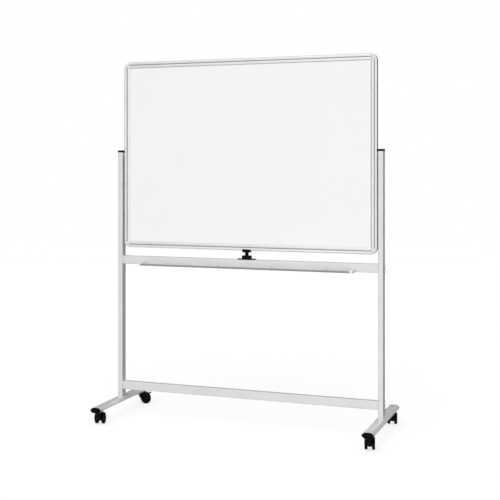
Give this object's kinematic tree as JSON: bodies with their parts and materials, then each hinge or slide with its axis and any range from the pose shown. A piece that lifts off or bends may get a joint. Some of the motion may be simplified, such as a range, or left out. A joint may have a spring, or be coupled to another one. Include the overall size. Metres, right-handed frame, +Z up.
{
  "type": "rolling whiteboard",
  "caption": "Double-sided whiteboard that turns over between two tubular posts, with a pen tray and a spring latch, on a stand with lockable swivel casters.",
  "frame": {"origin": "on the floor, under the middle of the stand's footprint", "axes": "+Z up; +X along the board to the right of a person facing it; -Y towards the pen tray side (front)"},
  "size_m": [1.3413, 0.5643, 1.7135],
  "materials": {
    "stand_paint": "silver powder coat, satin",
    "foot_metal": "satin bright metal",
    "black_plastic": "black moulded plastic, glossy",
    "chrome_bolts": "polished",
    "dark_washers": "black oxide steel",
    "plain_steel": "zinc plated steel",
    "tray_aluminium": "satin anodised",
    "tray_end_plastic": "light grey moulded plastic",
    "writing_surface": "white enamelled steel, smooth semi-gloss",
    "core_board": "paper honeycomb core, hidden",
    "frame_aluminium": "satin anodised extrusion",
    "corner_plastic": "light grey moulded plastic",
    "bushing_plastic": "natural nylon",
    "caster_plastic": "black nylon, glossy",
    "caster_steel": "zinc plated steel",
    "caster_wheel": "black nylon with a soft tread"
  },
  "bodies": {
    "stand": {"bar_bolt_washers": "dark_washers", "bar_bolts": "chrome_bolts", "bar_nut_blocks": "plain_steel", "caster_sockets": "black_plastic", "caster_stems": "plain_steel", "foot_bolts": "dark_washers", "foot_cap_front_left": "black_plastic", "foot_cap_front_right": "black_plastic", "foot_cap_rear_left": "black_plastic", "foot_cap_rear_right": "black_plastic", "latch_base": "black_plastic", "latch_screws": "plain_steel", "left_foot": "foot_metal", "left_pivot_pin": "plain_steel", "left_post": "stand_paint", "left_post_cap": "black_plastic", "lower_bar": "stand_paint", "pen_tray": "tray_aluminium", "pivot_blocks": "plain_steel", "pivot_spacers": "plain_steel", "post_base_plugs": "plain_steel", "right_foot": "foot_metal", "right_pivot_pin": "plain_steel", "right_post": "stand_paint", "right_post_cap": "black_plastic", "tray_end_cap_left": "tray_end_plastic", "tray_end_cap_right": "tray_end_plastic", "tray_screws": "plain_steel", "upper_bar": "stand_paint"},
    "board": {"front_sheet": "writing_surface", "back_sheet": "writing_surface", "board_core": "core_board", "frame_top": "frame_aluminium", "frame_bottom": "frame_aluminium", "frame_left": "frame_aluminium", "frame_right": "frame_aluminium", "corner_cap_top_left": "corner_plastic", "corner_cap_top_right": "corner_plastic", "corner_cap_bottom_left": "corner_plastic", "corner_cap_bottom_right": "corner_plastic", "pivot_bushings": "bushing_plastic"},
    "latch": {"latch_plunger": "black_plastic", "latch_spring": "plain_steel"},
    "caster_front_left": {"caster_housing_front_left": "caster_plastic"},
    "wheels_front_left": {"caster_axle_front_left": "caster_steel", "caster_wheels_front_left": "caster_wheel"},
    "brake_front_left": {"brake_lever_front_left": "caster_plastic"},
    "caster_front_right": {"caster_housing_front_right": "caster_plastic"},
    "wheels_front_right": {"caster_axle_front_right": "caster_steel", "caster_wheels_front_right": "caster_wheel"},
    "brake_front_right": {"brake_lever_front_right": "caster_plastic"},
    "caster_rear_left": {"caster_housing_rear_left": "caster_plastic"},
    "wheels_rear_left": {"caster_axle_rear_left": "caster_steel", "caster_wheels_rear_left": "caster_wheel"},
    "brake_rear_left": {"brake_lever_rear_left": "caster_plastic"},
    "caster_rear_right": {"caster_housing_rear_right": "caster_plastic"},
    "wheels_rear_right": {"caster_axle_rear_right": "caster_steel", "caster_wheels_rear_right": "caster_wheel"},
    "brake_rear_right": {"brake_lever_rear_right": "caster_plastic"}
  },
  "joints": [
    {"name": "board_flip", "type": "hinge", "parent": "stand", "child": "board", "pos_m": [0, 0, 1.2635], "axis": [1, 0, 0], "continuous": true},
    {"name": "latch_slide", "type": "slide", "parent": "stand", "child": "latch", "axis": [0, 0, 1], "range_m": [-0.01, 0], "stiffness_N_per_m": 300, "springref_m": 0.01, "deforming": ["latch_spring"]},
    {"name": "swivel_front_left", "type": "hinge", "parent": "stand", "child": "caster_front_left", "pos_m": [-0.6415, -0.238, 0.045], "axis": [0, 0, 1], "continuous": true},
    {"name": "roll_front_left", "type": "hinge", "parent": "caster_front_left", "child": "wheels_front_left", "pos_m": [-0.6457, -0.2205, 0.025], "axis": [-0.9724, -0.2334, 0], "continuous": true},
    {"name": "brake_front_left", "type": "hinge", "parent": "caster_front_left", "child": "brake_front_left", "pos_m": [-0.64811, -0.21048, 0.0373], "axis": [-0.9724, -0.2334, 0], "range_deg": [0, 14]},
    {"name": "swivel_front_right", "type": "hinge", "parent": "stand", "child": "caster_front_right", "pos_m": [0.6415, -0.238, 0.045], "axis": [0, 0, 1], "continuous": true},
    {"name": "roll_front_right", "type": "hinge", "parent": "caster_front_right", "child": "wheels_front_right", "pos_m": [0.63776, -0.22039, 0.025], "axis": [-0.9781, -0.2079, 0], "continuous": true},
    {"name": "brake_front_right", "type": "hinge", "parent": "caster_front_right", "child": "brake_front_right", "pos_m": [0.63562, -0.21032, 0.0373], "axis": [-0.9781, -0.2079, 0], "range_deg": [0, 14]},
    {"name": "swivel_rear_left", "type": "hinge", "parent": "stand", "child": "caster_rear_left", "pos_m": [-0.6415, 0.238, 0.045], "axis": [0, 0, 1], "continuous": true},
    {"name": "roll_rear_left", "type": "hinge", "parent": "caster_rear_left", "child": "wheels_rear_left", "pos_m": [-0.62519, 0.24561, 0.025], "axis": [-0.4226, 0.9063, 0], "continuous": true},
    {"name": "brake_rear_left", "type": "hinge", "parent": "caster_rear_left", "child": "brake_rear_left", "pos_m": [-0.61585, 0.24996, 0.0373], "axis": [-0.4226, 0.9063, 0], "range_deg": [0, 14]},
    {"name": "swivel_rear_right", "type": "hinge", "parent": "stand", "child": "caster_rear_right", "pos_m": [0.6415, 0.238, 0.045], "axis": [0, 0, 1], "continuous": true},
    {"name": "roll_rear_right", "type": "hinge", "parent": "caster_rear_right", "child": "wheels_rear_right", "pos_m": [0.63899, 0.25583, 0.025], "axis": [-0.9903, -0.1392, 0], "continuous": true},
    {"name": "brake_rear_right", "type": "hinge", "parent": "caster_rear_right", "child": "brake_rear_right", "pos_m": [0.63756, 0.26603, 0.0373], "axis": [-0.9903, -0.1392, 0], "range_deg": [0, 14]}
  ]
}
